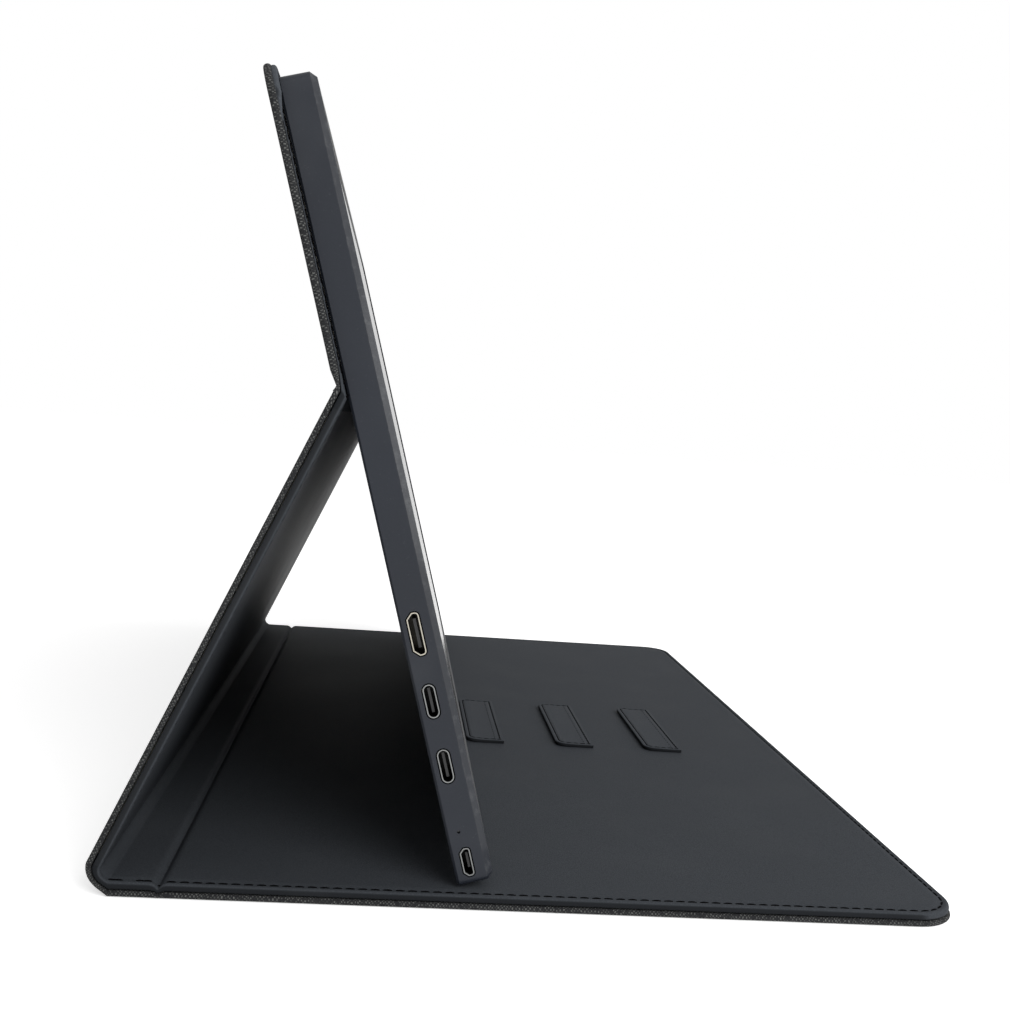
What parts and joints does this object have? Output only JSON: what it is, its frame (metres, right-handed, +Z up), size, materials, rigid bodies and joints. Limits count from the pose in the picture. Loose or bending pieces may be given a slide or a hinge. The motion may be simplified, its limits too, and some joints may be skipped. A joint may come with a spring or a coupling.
{
  "type": "portable monitor with cover",
  "caption": "Thin portable monitor standing in a folding fabric cover, with side sockets, side buttons and sewn tabs that hold the screen's lower edge.",
  "frame": {"origin": "middle of the footprint, on the table", "axes": "+X along the width towards the button side, the screen faces -Y, +Z up"},
  "size_m": [0.363, 0.2314, 0.2091],
  "materials": {
    "outer_fabric": "woven melange, charcoal with light flecks",
    "stiffener_board": "matte grey board",
    "lining": "fine grained, dark grey, soft sheen",
    "magnet": "plated",
    "adhesive": "soft adhesive film",
    "housing": "satin dark blue-grey paint",
    "frame": "satin dark blue-grey paint",
    "screen_glass": "glossy, black when off",
    "clear_plastic": "clear",
    "white_film": "matte white",
    "steel_plate": "satin",
    "circuit_board": "green solder mask",
    "black_plastic": "matte black",
    "socket_shell": "plated, bright",
    "ribbon": "amber film",
    "lead": "insulated",
    "switch": "matte",
    "button": "satin"
  },
  "bodies": {
    "base": {"base_fabric": "outer_fabric", "base_board": "stiffener_board", "base_lining": "lining", "closure_magnets": "magnet", "tab_front_row": "lining", "tab_middle_row": "lining", "tab_rear_row": "lining", "crease_fabric": "outer_fabric", "crease_lining": "lining"},
    "spine": {"spine_fabric": "outer_fabric", "spine_board": "stiffener_board", "spine_lining": "lining", "turn_fabric": "outer_fabric", "turn_lining": "lining"},
    "leg": {"leg_fabric": "outer_fabric", "leg_board": "stiffener_board", "leg_lining": "lining", "notch_fabric": "outer_fabric", "notch_lining": "lining"},
    "display": {"upper_fabric": "outer_fabric", "upper_board": "stiffener_board", "upper_lining": "lining", "glue_sheet": "adhesive", "rear_housing": "housing", "front_frame": "frame", "frame_tape": "adhesive", "screen_cell": "screen_glass", "diffuser": "white_film", "light_guide": "clear_plastic", "reflector": "white_film", "light_bar": "white_film", "screen_plate": "steel_plate", "driver_board": "circuit_board", "main_board": "circuit_board", "board_chips": "black_plastic", "shield_can": "steel_plate", "board_screws": "steel_plate", "video_socket": "socket_shell", "oval_socket_upper": "socket_shell", "oval_socket_lower": "socket_shell", "power_socket": "socket_shell", "socket_tongues": "black_plastic", "status_light": "clear_plastic", "headphone_socket": "black_plastic", "speaker_left": "black_plastic", "speaker_right": "black_plastic", "screen_ribbon": "ribbon", "backlight_ribbon": "ribbon", "button_ribbon": "ribbon", "speaker_leads": "lead", "button_board": "circuit_board", "button_switches": "switch"},
    "power_button": {"power_button": "button"},
    "menu_up_button": {"menu_up_button": "button"},
    "menu_down_button": {"menu_down_button": "button"}
  },
  "joints": [
    {"name": "crease_fold", "type": "hinge", "parent": "base", "child": "spine", "pos_m": [0, 0.0973, 0], "axis": [-1, 0, 0], "range_deg": [0, 170], "deforming": ["crease_fabric", "crease_lining"]},
    {"name": "stand_fold", "type": "hinge", "parent": "spine", "child": "leg", "pos_m": [0, 0.1097, 0.006], "axis": [-1, 0, 0], "range_deg": [0, 113.6], "deforming": ["turn_fabric", "turn_lining"]},
    {"name": "back_fold", "type": "hinge", "parent": "leg", "child": "display", "pos_m": [0, 0.0602, 0.12864], "axis": [1, 0, 0], "range_deg": [0, 40.08], "deforming": ["notch_fabric", "notch_lining"]},
    {"name": "power_press", "type": "slide", "parent": "display", "child": "power_button", "axis": [-1, 0, 0], "range_m": [0, 0.0004], "stiffness_N_per_m": 800},
    {"name": "menu_up_press", "type": "slide", "parent": "display", "child": "menu_up_button", "axis": [-1, 0, 0], "range_m": [0, 0.0004], "stiffness_N_per_m": 800},
    {"name": "menu_down_press", "type": "slide", "parent": "display", "child": "menu_down_button", "axis": [-1, 0, 0], "range_m": [0, 0.0004], "stiffness_N_per_m": 800}
  ],
  "couplings": [
    {"joint": "back_fold", "follows": "stand_fold", "ratio": 0.35278}
  ]
}
